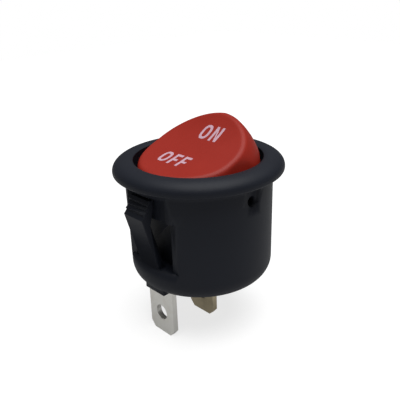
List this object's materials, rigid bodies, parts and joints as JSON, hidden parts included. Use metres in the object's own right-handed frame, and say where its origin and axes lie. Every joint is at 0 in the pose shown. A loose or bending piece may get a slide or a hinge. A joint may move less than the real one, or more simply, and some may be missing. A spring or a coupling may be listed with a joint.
{
  "type": "panel rocker switch",
  "caption": "Round snap-in rocker switch with a domed flange, a red tilting rocker, side snap wings and flat push-on terminals.",
  "frame": {"origin": "centre of the flange's underside, where the panel's front face lies", "axes": "+Z out of the panel's front, +X toward the ON end of the rocker, Y along the rocker's pivot"},
  "size_m": [0.023, 0.023, 0.0288],
  "materials": {
    "black_plastic": "satin moulded",
    "red_plastic": "semi-gloss moulded",
    "plated_brass": "dull tin plate",
    "dull_brass": "dull",
    "natural_plastic": "smooth",
    "spring_steel": "drawn wire",
    "copper_alloy": "rolled",
    "silver_alloy": "smooth"
  },
  "bodies": {
    "base": {"housing": "black_plastic", "load_terminal": "plated_brass", "common_terminal": "dull_brass", "fixed_contact": "silver_alloy"},
    "rocker": {"rocker": "red_plastic", "plunger_spring": "spring_steel"},
    "plunger": {"plunger": "natural_plastic"},
    "lever": {"contact_lever": "copper_alloy", "moving_contact": "silver_alloy"}
  },
  "joints": [
    {"name": "rocker_tilt", "type": "hinge", "parent": "base", "child": "rocker", "pos_m": [0, 0, 0], "axis": [0, 1, 0], "range_deg": [0, 44]},
    {"name": "plunger_slide", "type": "slide", "parent": "rocker", "child": "plunger", "axis": [-0.3746, 0, 0.9272], "range_m": [0, 0.0008], "stiffness_N_per_m": 300, "springref_m": -0.001, "deforming": ["plunger_spring"]},
    {"name": "lever_rock", "type": "hinge", "parent": "base", "child": "lever", "pos_m": [0, 0, -0.012], "axis": [0, 1, 0], "range_deg": [-11, 0]}
  ],
  "couplings": [
    {"joint": "lever_rock", "follows": "rocker_tilt", "ratio": -0.25}
  ]
}
